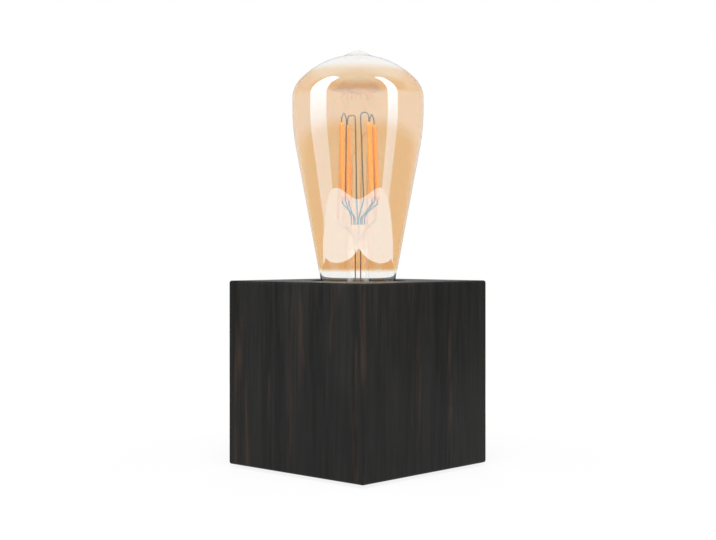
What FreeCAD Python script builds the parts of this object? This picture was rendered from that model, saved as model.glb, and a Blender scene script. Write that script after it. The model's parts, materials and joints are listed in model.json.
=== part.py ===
import FreeCAD, Part
import math
import os
import Sketcher

# Bare bulb table lamp: a cube of stained wood with a lampholder sunk in a well, and a large
# filament bulb screwed into it. Millimetres and degrees. The origin is on the table, at the
# middle of the cube's footprint; +Z is up, +Y is the back, where the cord goes in.

DIMENSIONS = {
    # Wooden cube
    "block_side": 90.0,
    "edge_round": 1.2,
    "well_dia": 46.0,
    "well_depth": 58.5,
    "well_bevel": 0.8,
    "recess_dia": 60.0,
    "recess_depth": 16.5,
    "nipple_hole_dia": 10.6,
    # Felt feet
    "foot_thickness": 1.5,
    "foot_dia": 12.0,
    "foot_inset": 14.0,
    # Cover of the wiring recess, let into the underside
    "cover_ledge": 5.0,
    "cover_thickness": 2.5,
    "cover_gap": 0.25,
    "cover_screw_dia": 2.4,
    "cover_screw_head_dia": 4.4,
    "cover_screw_head_height": 1.0,
    "cover_screw_length": 10.0,
    # Cord inlet in the back wall
    "inlet_height": 11.0,
    "inlet_dia": 9.0,
    "inlet_bore_dia": 6.8,
    "inlet_flange_dia": 13.0,
    "inlet_flange_thickness": 1.2,
    "inlet_flange_sink": 0.2,
    "inlet_gap": 0.1,
    # Threaded nipple and what it clamps
    "nipple_dia": 9.8,
    "nipple_bore_dia": 7.6,
    "nipple_tail": 7.5,
    "nipple_grip": 9.0,
    "nut_flats": 14.0,
    "nut_height": 4.0,
    "washer_thickness": 1.2,
    "washer_dia": 20.0,
    "washer_gap": 0.3,
    # Lampholder
    "holder_dia": 39.6,
    "holder_neck_dia": 15.0,
    "holder_neck_height": 5.8,
    "holder_dome_rise": 8.0,
    "holder_cap_height": 19.8,
    "holder_floor": 2.0,
    "holder_chamber_dia": 30.4,
    "holder_chamber_rise": 4.0,
    "carrier_depth": 4.0,
    "carrier_dia": 32.4,
    "carrier_thickness": 6.0,
    "spigot_dia": 35.8,
    "spigot_height": 6.0,
    "holder_gap": 0.15,
    "sleeve_height": 30.6,
    "sleeve_ring": 2.2,
    "thread_tube_dia": 30.6,
    "thread_tube_rise": 4.5,
    "collar_bore_dia": 28.6,
    "collar_depth": 5.0,
    "lock_screw_dia": 2.8,
    "lock_screw_rise": 3.0,
    # Terminals and sprung contacts
    "terminal_spread": 9.0,
    "terminal_width": 5.0,
    "terminal_breadth": 6.0,
    "terminal_height": 5.5,
    "terminal_screw_dia": 2.4,
    "terminal_screw_head_dia": 4.4,
    "terminal_screw_head_height": 1.4,
    "terminal_screw_reach": 4.0,
    "rivet_dia": 2.2,
    "rivet_head_dia": 3.8,
    "rivet_head_height": 0.7,
    "small_gap": 0.1,
    "spring_thickness": 0.4,
    "spring_width": 5.0,
    "spring_hinge": 6.0,
    "spring_foot_end": 3.0,
    "spring_slope": 4.0,
    "spring_tip": 3.5,
    "spring_lip": 1.2,
    "spring_gap": 0.25,
    "side_spring_height": 15.0,
    "side_slot_width": 6.4,
    "side_slot_height": 18.5,
    # Screw fit of bulb and holder, over the crests of the thread
    "thread_dia": 26.2,
    "thread_clearance": 0.3,
    # Screw cap of the bulb, heights from the centre contact
    "contact_height": 3.8,
    "contact_dia": 9.4,
    "contact_thickness": 0.9,
    "contact_stem_dia": 4.6,
    "contact_stem_length": 2.4,
    "contact_gap": 0.25,
    "insulator_foot_dia": 10.4,
    "insulator_sink": 2.5,
    "shell_start": 5.5,
    "shell_bore_dia": 23.4,
    "shell_lip": 1.4,
    "shell_lip_thickness": 0.8,
    "cap_length": 25.2,
    "rim_dia": 27.2,
    "rim_height": 1.6,
    "cement_length": 6.8,
    # Glass envelope
    "bulb_length": 145.0,
    "glass_wall": 1.0,
    "neck_dia": 21.8,
    "neck_length": 9.0,
    "rim_gap": 0.1,
    "shoulder_round": 6.0,
    "shoulder_spread": 12.2,
    "cone_angle": 10.6,
    "belly_dia": 64.6,
    "belly_round": 32.0,
    "crown_drop": 23.7,
    "crown_round": 13.0,
    "crown_angle": 43.0,
    "pip_dia": 13.0,
    # Glass stem
    "stem_dia": 10.8,
    "stem_wall": 1.0,
    "flare_height": 4.0,
    "tube_length": 26.5,
    "tube_shoulder": 3.0,
    "press_length": 15.0,
    "press_width": 9.6,
    "press_thickness": 3.2,
    "seal_gap": 0.1,
    # Driver in the cap
    "board_width": 14.0,
    "board_height": 7.0,
    "board_thickness": 1.0,
    "capacitor_dia": 4.6,
    "capacitor_length": 8.0,
    "rectifier_width": 5.0,
    "rectifier_height": 3.8,
    "rectifier_thickness": 2.2,
    # Filament cage
    "filament_length": 38.0,
    "filament_width": 2.4,
    "filament_thickness": 1.7,
    "filament_tab": 1.6,
    "filament_tab_width": 0.8,
    "filament_tab_thickness": 0.4,
    "filament_top_drop": 35.8,
    "cage_top_radius": 9.6,
    "cage_foot_radius": 10.3,
    "cage_angle": 76.4,
    "cage_lean": 1.1,
    "cage_lean_angle": 43.0,
    "wire_dia": 0.6,
    "wire_lag": 20.4,
    "support_top_radius": 5.75,
    "support_foot_radius": 7.5,
    "hook_rise": 3.0,
    "hook_reach": 1.0,
    "wire_gap": 0.05,
    "wire_stub": 1.0,
    "lead_spread": 1.8,
}


class Size:
    """A size and the formula that ties it to the sheet."""

    def __init__(self, value, formula):
        self.value = value
        self.formula = formula

    def __add__(self, other):
        other = as_size(other)
        return Size(self.value + other.value, f"({self.formula} + {other.formula})")

    def __sub__(self, other):
        other = as_size(other)
        return Size(self.value - other.value, f"({self.formula} - {other.formula})")

    def __mul__(self, other):
        other = as_size(other)
        return Size(self.value * other.value, f"({self.formula} * {other.formula})")

    def __truediv__(self, other):
        other = as_size(other)
        return Size(self.value / other.value, f"({self.formula} / {other.formula})")

    def __neg__(self):
        return Size(-self.value, f"(0 - {self.formula})")


def as_size(number):
    return number if isinstance(number, Size) else Size(float(number), f"{number}")


def root(size):
    return Size(math.sqrt(size.value), f"sqrt({size.formula})")


def cosine(angle):
    return Size(math.cos(math.radians(angle.value)), f"cos({angle.formula})")


def sine(angle):
    return Size(math.sin(math.radians(angle.value)), f"sin({angle.formula})")


def tangent(angle):
    return Size(math.tan(math.radians(angle.value)), f"tan({angle.formula})")


class Sheet:
    """The driving dimensions: a spreadsheet row for each, and a Size of the same name here."""

    def __init__(self, document, dimensions):
        sheet = document.addObject("Spreadsheet::Sheet", "Sizes")
        for row, (name, number) in enumerate(dimensions.items(), start=1):
            sheet.set(f"A{row}", name)
            sheet.set(f"B{row}", str(number))
            sheet.setAlias(f"B{row}", name)
            setattr(self, name, Size(number, f"Sizes.{name}"))
        document.recompute()


class Arc:
    """The stretch between the outline's points before and after it, round this centre."""

    def __init__(self, centre, radius):
        self.centre = (as_size(centre[0]), as_size(centre[1]))
        self.radius = as_size(radius)


document = FreeCAD.newDocument("BareBulbTableLamp")
size = Sheet(document, DIMENSIONS)
pieces = {}
PLANE_OF = {"front": "XZ_Plane", "side": "YZ_Plane", "level": "XY_Plane"}


# ---- Sketches and features ----


def body(label):
    made = document.addObject("PartDesign::Body", label)
    made.Label = label
    pieces[label] = made
    return made


def sketch(owner, name, view, height=None):
    """An empty sketch on one of the body's own planes, lifted along the plane's normal."""
    made = owner.newObject("Sketcher::SketchObject", name)
    planes = [feature for feature in owner.Origin.OriginFeatures if feature.Role == PLANE_OF[view]]
    made.AttachmentSupport = [(planes[0], "")]
    made.MapMode = "FlatFace"
    if height is not None:
        made.AttachmentOffset = FreeCAD.Placement(
            FreeCAD.Vector(0, 0, height.value), FreeCAD.Rotation()
        )
        made.setExpression("AttachmentOffset.Base.z", height.formula)
    return made


def bind(made, kind, *arguments, amount):
    """Add a constraint whose amount follows the sheet."""
    index = made.addConstraint(Sketcher.Constraint(kind, *arguments, amount.value))
    made.setExpression(f"Constraints[{index}]", amount.formula)


def place_point(made, geometry, position, point):
    """Hold a sketch point at its distances from the sketch's origin."""
    for kind, axis, amount in (("DistanceX", -2, point[0]), ("DistanceY", -1, point[1])):
        if amount.value == 0:
            made.addConstraint(Sketcher.Constraint("PointOnObject", geometry, position, axis))
        else:
            bind(made, kind, -1, 1, geometry, position, amount=amount)


def spell_out(steps):
    """Turn an outline's steps into points and the arcs that follow them."""
    points = []
    arcs = {}
    for step in steps:
        if isinstance(step, Arc):
            arcs[len(points) - 1] = step
        else:
            points.append((as_size(step[0]), as_size(step[1])))
    return points, arcs


def vector(point):
    return FreeCAD.Vector(point[0].value, point[1].value, 0)


def outline(owner, name, view, steps, height=None):
    """A closed outline of points and arcs, each held to the sheet."""
    made = sketch(owner, name, view, height)
    points, arcs = spell_out(steps)
    sides = []
    for index, point in enumerate(points):
        start = vector(point)
        end = vector(points[(index + 1) % len(points)])
        if index not in arcs:
            made.addGeometry(Part.LineSegment(start, end), False)
            sides.append((1, 2))
            continue
        centre = vector(arcs[index].centre)
        first = math.atan2(start.y - centre.y, start.x - centre.x)
        last = math.atan2(end.y - centre.y, end.x - centre.x)
        ahead = (start - centre).cross(end - centre).z > 0
        if not ahead:
            first, last = last, first
        if last < first:
            last += 2 * math.pi
        circle = Part.Circle(centre, FreeCAD.Vector(0, 0, 1), arcs[index].radius.value)
        made.addGeometry(Part.ArcOfCircle(circle, first, last), False)
        sides.append((1, 2) if ahead else (2, 1))
    for index, point in enumerate(points):
        following = (index + 1) % len(points)
        made.addConstraint(
            Sketcher.Constraint("Coincident", index, sides[index][1], following, sides[following][0])
        )
        place_point(made, index, sides[index][0], point)
        if index in arcs:
            bind(made, "Radius", index, amount=arcs[index].radius)
    return made


def circles(owner, name, view, diameter, centres=((0, 0),), height=None):
    """A sketch of equal circles."""
    made = sketch(owner, name, view, height)
    for index, centre in enumerate(centres):
        centre = (as_size(centre[0]), as_size(centre[1]))
        circle = Part.Circle(vector(centre), FreeCAD.Vector(0, 0, 1), diameter.value / 2)
        made.addGeometry(circle, False)
        bind(made, "Diameter", index, amount=diameter)
        place_point(made, index, 3, centre)
    return made


def ring_outline(inner_radius, outer_radius, low, high):
    """The section of a plain ring."""
    return [(inner_radius, low), (outer_radius, low), (outer_radius, high), (inner_radius, high)]


def rectangle(left, right, low, high):
    return [(left, low), (right, low), (right, high), (left, high)]


def turn(owner, name, steps, cut=False):
    """Revolve a section about the upright axis, adding to the body or cutting it."""
    section = outline(owner, f"{name}_section", "front", steps)
    made = owner.newObject("PartDesign::Groove" if cut else "PartDesign::Revolution", name)
    made.Profile = section
    made.ReferenceAxis = (section, ["V_Axis"])
    made.Angle = 360
    document.recompute()
    return made


def extrude(owner, name, profile, length, cut=False, reverse=False, both_ways=False):
    """Pad or pocket a sketch along its normal."""
    made = owner.newObject("PartDesign::Pocket" if cut else "PartDesign::Pad", name)
    made.Profile = profile
    made.Length = length.value
    made.setExpression("Length", length.formula)
    made.Reversed = reverse
    made.Midplane = both_ways
    document.recompute()
    return made


def around(owner, name, feature, count):
    """Repeat a feature evenly around the upright axis."""
    made = owner.newObject("PartDesign::PolarPattern", name)
    made.Originals = [feature]
    made.Axis = (feature.Profile[0], ["N_Axis"])
    made.Angle = 360
    made.Occurrences = count
    owner.Tip = made
    document.recompute()
    return made


def turned_piece(label, steps):
    made = body(label)
    turn(made, "turned", steps)
    return made


# ---- Heights that pieces share ----

block_bottom = size.foot_thickness
block_top = block_bottom + size.block_side
well_floor = block_top - size.well_depth
web_bottom = block_bottom + size.recess_depth
cover_top = block_bottom + size.cover_thickness
cover_dia = size.recess_dia + size.cover_ledge * 2
screw_circle = size.recess_dia + size.cover_ledge
holder_seat = well_floor + size.washer_thickness
holder_parting = holder_seat + size.holder_cap_height
carrier_seat = holder_parting - size.carrier_depth
carrier_top = carrier_seat + size.carrier_thickness
holder_top = holder_parting + size.sleeve_height
bulb_seat = carrier_top + size.contact_height
shell_bottom = bulb_seat + size.shell_start
shell_top = bulb_seat + size.cap_length
insulator_top = shell_bottom + size.insulator_sink
driver_floor = insulator_top + size.seal_gap
neck_bottom = shell_top - size.neck_length
bulb_tip = bulb_seat + size.bulb_length


# ---- Wooden base ----


def wooden_block():
    """The cube, with the bulb's well, the wiring recess, the inlet and all outer edges eased."""
    made = body("wooden_block")
    half = size.block_side / 2
    square = outline(made, "footprint", "level", rectangle(-half, half, -half, half), block_bottom)
    cube = extrude(made, "cube", square, size.block_side)
    eased = made.newObject("PartDesign::Fillet", "eased_edges")
    eased.Base = (cube, [f"Edge{index + 1}" for index in range(len(cube.Shape.Edges))])
    eased.Radius = size.edge_round.value
    eased.setExpression("Radius", size.edge_round.formula)
    document.recompute()
    well = size.well_dia / 2
    turn(made, "well", [
        (0, well_floor),
        (well, well_floor),
        (well, block_top - size.well_bevel),
        (well + size.well_bevel, block_top),
        (well + size.well_bevel, block_top + size.edge_round),
        (0, block_top + size.edge_round),
    ], cut=True)
    rebate = cover_dia / 2 + size.cover_gap
    nipple_hole = size.nipple_hole_dia / 2
    turn(made, "recess", [
        (0, block_bottom - size.edge_round),
        (rebate, block_bottom - size.edge_round),
        (rebate, cover_top),
        (size.recess_dia / 2, cover_top),
        (size.recess_dia / 2, web_bottom),
        (nipple_hole, web_bottom),
        (nipple_hole, well_floor),
        (0, well_floor),
    ], cut=True)
    back = -half
    inlet = circles(made, "inlet", "front", size.inlet_dia, [(0, size.inlet_height)], back)
    extrude(made, "inlet_hole", inlet, half, cut=True, reverse=True)
    seat_dia = size.inlet_flange_dia + size.inlet_gap * 4
    seat = circles(made, "inlet_seat", "front", seat_dia, [(0, size.inlet_height)], back)
    depth = size.inlet_flange_thickness + size.inlet_flange_sink
    extrude(made, "inlet_counterbore", seat, depth, cut=True, reverse=True)
    pilot = circles(made, "pilot", "level", size.cover_screw_dia + size.small_gap * 2,
                    [(screw_circle / 2, 0)], block_bottom)
    hole = extrude(made, "pilot_hole", pilot, size.cover_screw_length + 1, cut=True, reverse=True)
    around(made, "pilot_holes", hole, 3)


def felt_feet():
    """Four felt discs under the corners."""
    made = body("felt_feet")
    reach = size.block_side / 2 - size.foot_inset
    disc = circles(made, "disc", "level", size.foot_dia, [(reach, reach)])
    around(made, "four_feet", extrude(made, "foot", disc, size.foot_thickness), 4)


def base_cover():
    """The round plate over the wiring recess, let in flush."""
    made = turned_piece("base_cover", ring_outline(0, cover_dia / 2, block_bottom, cover_top))
    clear = size.cover_screw_dia + size.small_gap * 4
    ring = circles(made, "screw_hole", "level", clear, [(screw_circle / 2, 0)], block_bottom)
    hole = extrude(made, "screw_hole_cut", ring, size.cover_thickness, cut=True, reverse=True)
    around(made, "screw_holes", hole, 3)


def cover_screws():
    """Three pan-headed screws that hold the cover to the ledge of the recess."""
    made = body("cover_screws")
    spot = [(screw_circle / 2, 0)]
    low = block_bottom - size.cover_screw_head_height
    head = circles(made, "head", "level", size.cover_screw_head_dia, spot, low)
    around(made, "heads", extrude(made, "head_pad", head, size.cover_screw_head_height), 3)
    shank = circles(made, "shank", "level", size.cover_screw_dia, spot, block_bottom)
    around(made, "shanks", extrude(made, "shank_pad", shank, size.cover_screw_length), 3)


def cord_bushing():
    """The flanged plastic bush that lines the cord's hole in the back wall."""
    made = body("cord_bushing")
    face = size.block_side / 2 - size.inlet_flange_sink
    shoulder = face - size.inlet_flange_thickness
    centre = [(0, size.inlet_height)]
    flange = circles(made, "flange", "front", size.inlet_flange_dia, centre, -face)
    extrude(made, "flange_pad", flange, size.inlet_flange_thickness)
    barrel_dia = size.inlet_dia - size.inlet_gap * 2
    barrel = circles(made, "barrel", "front", barrel_dia, centre, -shoulder)
    extrude(made, "barrel_pad", barrel, shoulder - size.recess_dia / 2 + 1)
    bore = circles(made, "bore", "front", size.inlet_bore_dia, centre, -face)
    extrude(made, "bore_cut", bore, size.block_side / 2, cut=True, reverse=True)


def fittings():
    """The threaded nipple through the web, with its nut and washers."""
    outer = size.nipple_dia / 2
    low = web_bottom - size.nipple_tail
    high = holder_seat + size.nipple_grip
    turned_piece("threaded_nipple", ring_outline(size.nipple_bore_dia / 2, outer, low, high))
    washer_bore = outer + size.washer_gap
    washer_rim = size.washer_dia / 2
    washer_low = web_bottom - size.washer_thickness
    turned_piece("nipple_washer", ring_outline(washer_bore, washer_rim, washer_low, web_bottom))
    turned_piece("holder_washer", ring_outline(washer_bore, washer_rim, well_floor, holder_seat))
    nut = body("nipple_nut")
    corner = size.nut_flats / math.sqrt(3)
    flat = size.nut_flats / 2
    hexagon = [
        (corner, 0), (corner / 2, flat), (-corner / 2, flat),
        (-corner, 0), (-corner / 2, -flat), (corner / 2, -flat),
    ]
    nut_low = washer_low - size.nut_height
    extrude(nut, "hexagon_pad", outline(nut, "hexagon", "level", hexagon, nut_low), size.nut_height)
    bore = circles(nut, "bore", "level", size.nipple_dia + size.small_gap * 2, height=nut_low)
    extrude(nut, "bore_cut", bore, size.nut_height, cut=True, reverse=True)


# ---- Lampholder ----


def holder_cap():
    """The lower half of the lampholder: a neck on the nipple, a dome and a spigot."""
    rim = size.holder_dia / 2
    neck = size.holder_neck_dia / 2
    neck_top = holder_seat + size.holder_neck_height
    bore = size.nipple_dia / 2 + size.small_gap
    chamber = size.holder_chamber_dia / 2
    spigot = size.spigot_dia / 2
    floor = neck_top + size.holder_floor
    made = turned_piece("holder_cap", [
        (bore, holder_seat),
        (neck, holder_seat),
        (neck, neck_top),
        (rim - size.holder_dome_rise, neck_top),
        (rim, neck_top + size.holder_dome_rise),
        (rim, holder_parting),
        (spigot, holder_parting),
        (spigot, holder_parting + size.spigot_height),
        (size.carrier_dia / 2 + size.holder_gap, holder_parting + size.spigot_height),
        (size.carrier_dia / 2 + size.holder_gap, carrier_seat),
        (chamber, carrier_seat),
        (chamber, floor + size.holder_chamber_rise),
        (chamber - size.holder_chamber_rise, floor),
        (bore, floor),
    ])
    height = holder_seat + size.lock_screw_rise
    hole_dia = size.lock_screw_dia + size.small_gap * 2
    hole = circles(made, "lock_hole", "side", hole_dia, [(0, height)])
    extrude(made, "lock_hole_cut", hole, neck + 1, cut=True, reverse=True)
    screw = body("holder_lock_screw")
    start = size.nipple_dia / 2 + size.small_gap / 2
    disc = circles(screw, "disc", "side", size.lock_screw_dia, [(0, height)], start)
    extrude(screw, "pin", disc, neck - start)


def contact_carrier():
    """The insulating disc that carries both contacts."""
    rim = size.carrier_dia / 2
    made = turned_piece("contact_carrier", ring_outline(0, rim, carrier_seat, carrier_top))
    spots = [(-size.terminal_spread, 0), (size.terminal_spread, 0)]
    dia = size.rivet_dia + size.small_gap * 2
    holes = circles(made, "rivet_holes", "level", dia, spots, carrier_seat)
    extrude(made, "rivet_holes_cut", holes, size.carrier_thickness, cut=True, reverse=True)


def terminal(label, side):
    """A brass block under the carrier, bored for its screw."""
    made = body(label)
    centre = size.terminal_spread * side
    half = size.terminal_breadth / 2
    deep = size.terminal_width / 2
    low = carrier_seat - size.terminal_height
    block = outline(made, "block", "level", rectangle(centre - half, centre + half, -deep, deep), low)
    extrude(made, "block_pad", block, size.terminal_height)
    dia = size.terminal_screw_dia + size.small_gap * 2
    hole = circles(made, "screw_hole", "level", dia, [(centre, 0)], low)
    depth = size.terminal_screw_reach + size.small_gap * 3
    extrude(made, "screw_hole_cut", hole, depth, cut=True, reverse=True)


def terminal_screws():
    """The clamping screw of each terminal, driven from below."""
    made = body("terminal_screws")
    spots = [(-size.terminal_spread, 0), (size.terminal_spread, 0)]
    face = carrier_seat - size.terminal_height
    low = face - size.terminal_screw_head_height
    heads = circles(made, "heads", "level", size.terminal_screw_head_dia, spots, low)
    extrude(made, "heads_pad", heads, size.terminal_screw_head_height)
    shanks = circles(made, "shanks", "level", size.terminal_screw_dia, spots, face)
    extrude(made, "shanks_pad", shanks, size.terminal_screw_reach)


def contact_rivets():
    """The rivet that holds each contact's foot and carries current to its terminal."""
    made = body("contact_rivets")
    spots = [(-size.terminal_spread, 0), (size.terminal_spread, 0)]
    foot_top = carrier_top + size.spring_thickness
    shanks = circles(made, "shanks", "level", size.rivet_dia, spots, carrier_seat)
    extrude(made, "shanks_pad", shanks, foot_top - carrier_seat)
    heads = circles(made, "heads", "level", size.rivet_head_dia, spots, foot_top)
    extrude(made, "heads_pad", heads, size.rivet_head_height)


def contact_foot(label, side, outer, inner):
    """The riveted end of a contact spring, flat on the carrier."""
    made = body(label)
    half = size.spring_width / 2
    left, right = (outer * side, inner * side) if side < 0 else (inner * side, outer * side)
    strip = outline(made, "strip", "level", rectangle(left, right, -half, half), carrier_top)
    extrude(made, "strip_pad", strip, size.spring_thickness)
    dia = size.rivet_dia + size.small_gap * 2
    hole = circles(made, "hole", "level", dia, [(size.terminal_spread * side, 0)], carrier_top)
    extrude(made, "hole_cut", hole, size.spring_thickness, cut=True, reverse=True)


def centre_contact():
    """The centre contact: a foot, and the sprung tongue that reaches under the bulb."""
    contact_foot("centre_contact_foot", -1, size.terminal_spread + size.spring_foot_end, size.spring_hinge)
    made = body("centre_contact_blade")
    start = -size.spring_hinge + size.small_gap
    rise_end = start + size.spring_slope
    tip = size.spring_tip
    lip = size.spring_lip
    low = carrier_top + size.small_gap
    high = bulb_seat - size.spring_gap
    thick = size.spring_thickness
    tongue = outline(made, "tongue", "front", [
        (start, low),
        (start + thick, low),
        (rise_end, high - thick),
        (tip, high - thick),
        (tip + lip, high - thick - lip / 2),
        (tip + lip, high - lip / 2),
        (tip, high),
        (rise_end - thick / 2, high),
        (start, low + thick),
    ])
    extrude(made, "tongue_pad", tongue, size.spring_width, both_ways=True)


def side_contact():
    """The side contact: a foot, and the sprung blade that presses on the bulb's thread."""
    inner_face = size.thread_dia / 2 + size.thread_clearance
    edge = inner_face - size.small_gap
    contact_foot("side_contact_foot", 1, edge, size.spring_hinge)
    made = body("side_contact_blade")
    thick = size.spring_thickness
    low = carrier_top + size.small_gap
    strip = outline(made, "blade", "front", rectangle(
        inner_face, inner_face + thick, low, low + size.side_spring_height,
    ))
    extrude(made, "blade_pad", strip, size.spring_width, both_ways=True)


def holder_sleeve():
    """The upper half of the lampholder: an outer wall, a top ring and the tube for the bulb's cap."""
    rim = size.holder_dia / 2
    skin = size.spigot_dia / 2 + size.holder_gap
    tube = size.thread_tube_dia / 2
    bore = size.thread_dia / 2 + size.thread_clearance
    collar = size.collar_bore_dia / 2
    tube_low = carrier_top + size.thread_tube_rise
    made = turned_piece("holder_sleeve", [
        (skin, holder_parting),
        (rim, holder_parting),
        (rim, holder_top),
        (collar, holder_top),
        (collar, holder_top - size.collar_depth),
        (bore, holder_top - size.collar_depth),
        (bore, tube_low),
        (tube, tube_low),
        (tube, holder_top - size.sleeve_ring),
        (skin, holder_top - size.sleeve_ring),
    ])
    width = size.side_slot_width / 2
    slot = outline(made, "slot", "level", rectangle(bore - 1, tube + 1, -width, width), tube_low)
    slot_height = carrier_top + size.side_slot_height - tube_low
    extrude(made, "slot_cut", slot, slot_height, cut=True, reverse=True)


# ---- Screw cap of the bulb ----


def bulb_cap():
    """The screw shell, its black insulator, the centre contact and the cement."""
    crest = size.thread_dia / 2
    bore = size.shell_bore_dia / 2
    rim = size.rim_dia / 2
    lip = bore - size.shell_lip
    rim_low = shell_top - size.rim_height
    turned_piece("bulb_cap_shell", [
        (lip, shell_bottom),
        (crest - size.shell_lip_thickness, shell_bottom),
        (crest, shell_bottom + size.shell_lip_thickness),
        (crest, rim_low),
        (rim, rim_low),
        (rim, shell_top),
        (bore, shell_top),
        (bore, shell_bottom + size.shell_lip_thickness),
        (lip, shell_bottom + size.shell_lip_thickness),
    ])
    stem_hole = size.contact_stem_dia / 2 + size.contact_gap
    contact_top = bulb_seat + size.contact_thickness
    lip_top = shell_bottom + size.shell_lip_thickness + size.seal_gap
    turned_piece("bulb_cap_insulator", [
        (stem_hole, contact_top + size.contact_gap),
        (size.insulator_foot_dia / 2, contact_top + size.contact_gap),
        (lip - size.seal_gap, shell_bottom),
        (lip - size.seal_gap, lip_top),
        (bore - size.seal_gap, lip_top),
        (bore - size.seal_gap, insulator_top),
        (stem_hole, insulator_top),
    ])
    button = size.contact_dia / 2
    turned_piece("bulb_cap_contact", [
        (0, bulb_seat),
        (button / 2, bulb_seat),
        (button, bulb_seat + size.contact_thickness / 2),
        (button, contact_top),
        (size.contact_stem_dia / 2, contact_top),
        (size.contact_stem_dia / 2, contact_top + size.contact_stem_length),
        (0, contact_top + size.contact_stem_length),
    ])
    inner = size.neck_dia / 2 + size.seal_gap / 2
    high = shell_top - size.rim_height
    turned_piece("bulb_cap_cement", ring_outline(
        inner, bore - size.seal_gap / 2, high - size.cement_length, high,
    ))


def driver():
    """The little supply in the cap: a board, its capacitor and its rectifier."""
    half = size.board_width / 2
    board = body("driver_board")
    plate = outline(board, "plate", "front", rectangle(
        -half, half, driver_floor, driver_floor + size.board_height,
    ))
    extrude(board, "plate_pad", plate, size.board_thickness, both_ways=True)
    middle = driver_floor + size.board_height / 2
    can = body("driver_capacitor")
    away = size.board_thickness / 2 + size.capacitor_dia / 2 + size.small_gap
    disc = circles(can, "disc", "side", size.capacitor_dia, [(away, middle)])
    extrude(can, "can", disc, size.capacitor_length, both_ways=True)
    chip = body("bridge_rectifier")
    side = size.rectifier_width / 2
    face = size.board_thickness / 2 + size.small_gap
    square = outline(chip, "square", "front", rectangle(
        -side, side, middle - size.rectifier_height / 2, middle + size.rectifier_height / 2,
    ), face)
    extrude(chip, "chip_pad", square, size.rectifier_thickness)


# ---- Glass ----


def along(centre, angle, radius):
    """The point of a circle at an angle above the level line."""
    return (centre[0] + radius * cosine(angle), centre[1] + radius * sine(angle))


def glass_envelope():
    """The blown envelope: neck, shoulder, long cone, belly, crown, dome and the sealed-off pip."""
    wall = size.glass_wall
    neck = size.neck_dia / 2
    down = -size.cone_angle
    steep = (down - 90) / 2
    slope = tangent(size.cone_angle)
    shoulder = (size.shoulder_spread, shell_top + size.rim_gap + size.shoulder_round)
    shoulder_low = shoulder[1] - size.shoulder_round
    inner_shoulder = size.shoulder_round - wall
    cone_low = along(shoulder, down, size.shoulder_round)
    belly_edge = size.belly_dia / 2
    belly_middle = belly_edge - size.belly_round
    cone_high_across = belly_middle + size.belly_round * cosine(down)
    cone_high = (cone_high_across, cone_low[1] + (cone_high_across - cone_low[0]) / slope)
    belly = (belly_middle, cone_high[1] + size.belly_round * sine(size.cone_angle))
    crown = (belly_edge - size.crown_round, bulb_tip - size.crown_drop)
    crown_end = along(crown, size.crown_angle, size.crown_round)
    dome_round = size.crown_round + crown[0] / cosine(size.crown_angle)
    dome = (as_size(0), crown_end[1] - dome_round * sine(size.crown_angle))
    inner_dome = dome_round - wall
    dome_middle = (size.crown_angle + 90) / 2
    pip = size.pip_dia / 2
    pip_foot = dome[1] + root(dome_round * dome_round - pip * pip)
    pip_rise = bulb_tip - pip_foot
    pip_round = (pip * pip + pip_rise * pip_rise) / (pip_rise * 2)
    inner_cone = along(shoulder, down, inner_shoulder)
    inner_edge = belly_edge - wall
    inner_crown = size.crown_round - wall
    turned_piece("glass_envelope", [
        (neck - wall, neck_bottom),
        (neck, neck_bottom),
        (neck, shoulder_low),
        (shoulder[0], shoulder_low),
        along(shoulder, steep, size.shoulder_round),
        cone_low,
        cone_high,
        Arc(belly, size.belly_round),
        (belly_edge, belly[1]),
        (belly_edge, crown[1]),
        Arc(crown, size.crown_round),
        crown_end,
        Arc(dome, dome_round),
        (pip, pip_foot),
        Arc((0, bulb_tip - pip_round), pip_round),
        (0, bulb_tip),
        (0, dome[1] + inner_dome),
        along(dome, dome_middle, inner_dome),
        along(crown, size.crown_angle, inner_crown),
        along(crown, size.crown_angle / 2, inner_crown),
        (inner_edge, crown[1]),
        (inner_edge, inner_cone[1] + (inner_edge - inner_cone[0]) / slope),
        inner_cone,
        along(shoulder, steep, inner_shoulder),
        (neck - wall, shoulder_low + wall),
    ])


stem_low = neck_bottom + size.seal_gap
tube_knee = stem_low + size.flare_height
tube_top = tube_knee + size.tube_length
press_top = tube_top + size.press_length


def glass_stem():
    """The glass mount: a flared foot, a tube and the flat press that holds the wires."""
    flare = size.neck_dia / 2 - size.glass_wall - size.seal_gap
    outer = size.stem_dia / 2
    inner = outer - size.stem_wall
    shoulder_top = tube_top + size.tube_shoulder
    made = turned_piece("glass_stem", [
        (inner, stem_low),
        (flare, stem_low),
        (outer, tube_knee),
        (outer, tube_top),
        (size.press_thickness / 2, shoulder_top),
        (0, shoulder_top),
        (0, tube_top),
        (inner, tube_top),
    ])
    half = size.press_width / 2
    thick = size.press_thickness / 2
    press = outline(made, "press", "level", rectangle(-half, half, -thick, thick), tube_top)
    extrude(made, "press_pad", press, size.press_length)


# ---- Filament cage ----


def wire(label, path):
    """A drawn wire of six flats along straight runs with mitred bends."""
    points = [FreeCAD.Vector(*point) for point in path]
    spine = Part.makePolygon(points)
    ahead = (points[1] - points[0]).normalize()
    across = ahead.cross(FreeCAD.Vector(0, 1, 0)).normalize()
    corner = across * (size.wire_dia.value / 2)
    turned_corners = [FreeCAD.Rotation(ahead, 60 * flat).multVec(corner) for flat in range(7)]
    section = Part.makePolygon([points[0] + turned for turned in turned_corners])
    mitred = 1
    made = document.addObject("Part::Feature", label)
    made.Label = label
    made.Shape = spine.makePipeShell([section], True, False, mitred)
    pieces[label] = made


def polar(radius, angle, height):
    turn_angle = math.radians(angle)
    return [radius * math.cos(turn_angle), radius * math.sin(turn_angle), height]


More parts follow.
